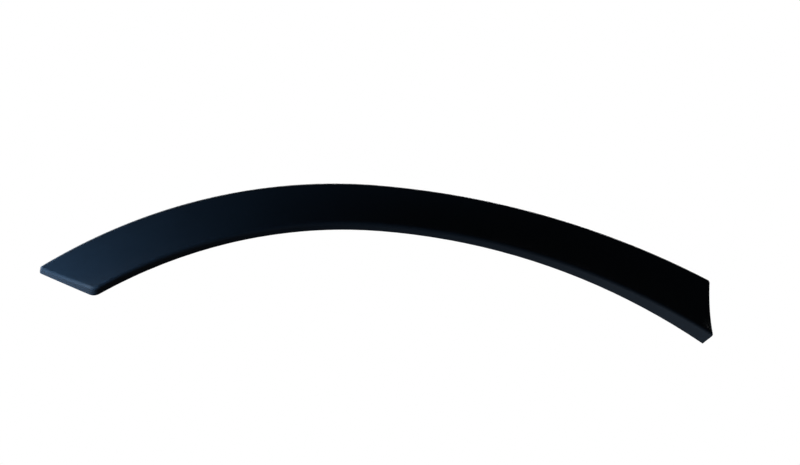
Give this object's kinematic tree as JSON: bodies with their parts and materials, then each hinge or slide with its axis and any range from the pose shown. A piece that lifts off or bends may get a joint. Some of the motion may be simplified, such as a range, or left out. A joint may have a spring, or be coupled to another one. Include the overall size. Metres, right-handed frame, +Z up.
{
  "type": "wheel arch trim",
  "caption": "Long black moulded trim that follows the upper edge of a car's wheel arch, with a rolled lower edge, a return flange, one slanting closed end, and clip towers and pegs behind.",
  "frame": {"origin": "on the crown peg's axis, where the trim's back edges seat on the wing", "axes": "+X along the car, to the right seen from outside, +Y inboard along the pegs, +Z up; the outer face looks towards -Y"},
  "size_m": [0.5435, 0.0395, 0.1051],
  "materials": {
    "black_plastic": "fine moulded grain"
  },
  "bodies": {
    "root": {"arch_trim": "black_plastic"}
  },
  "joints": []
}
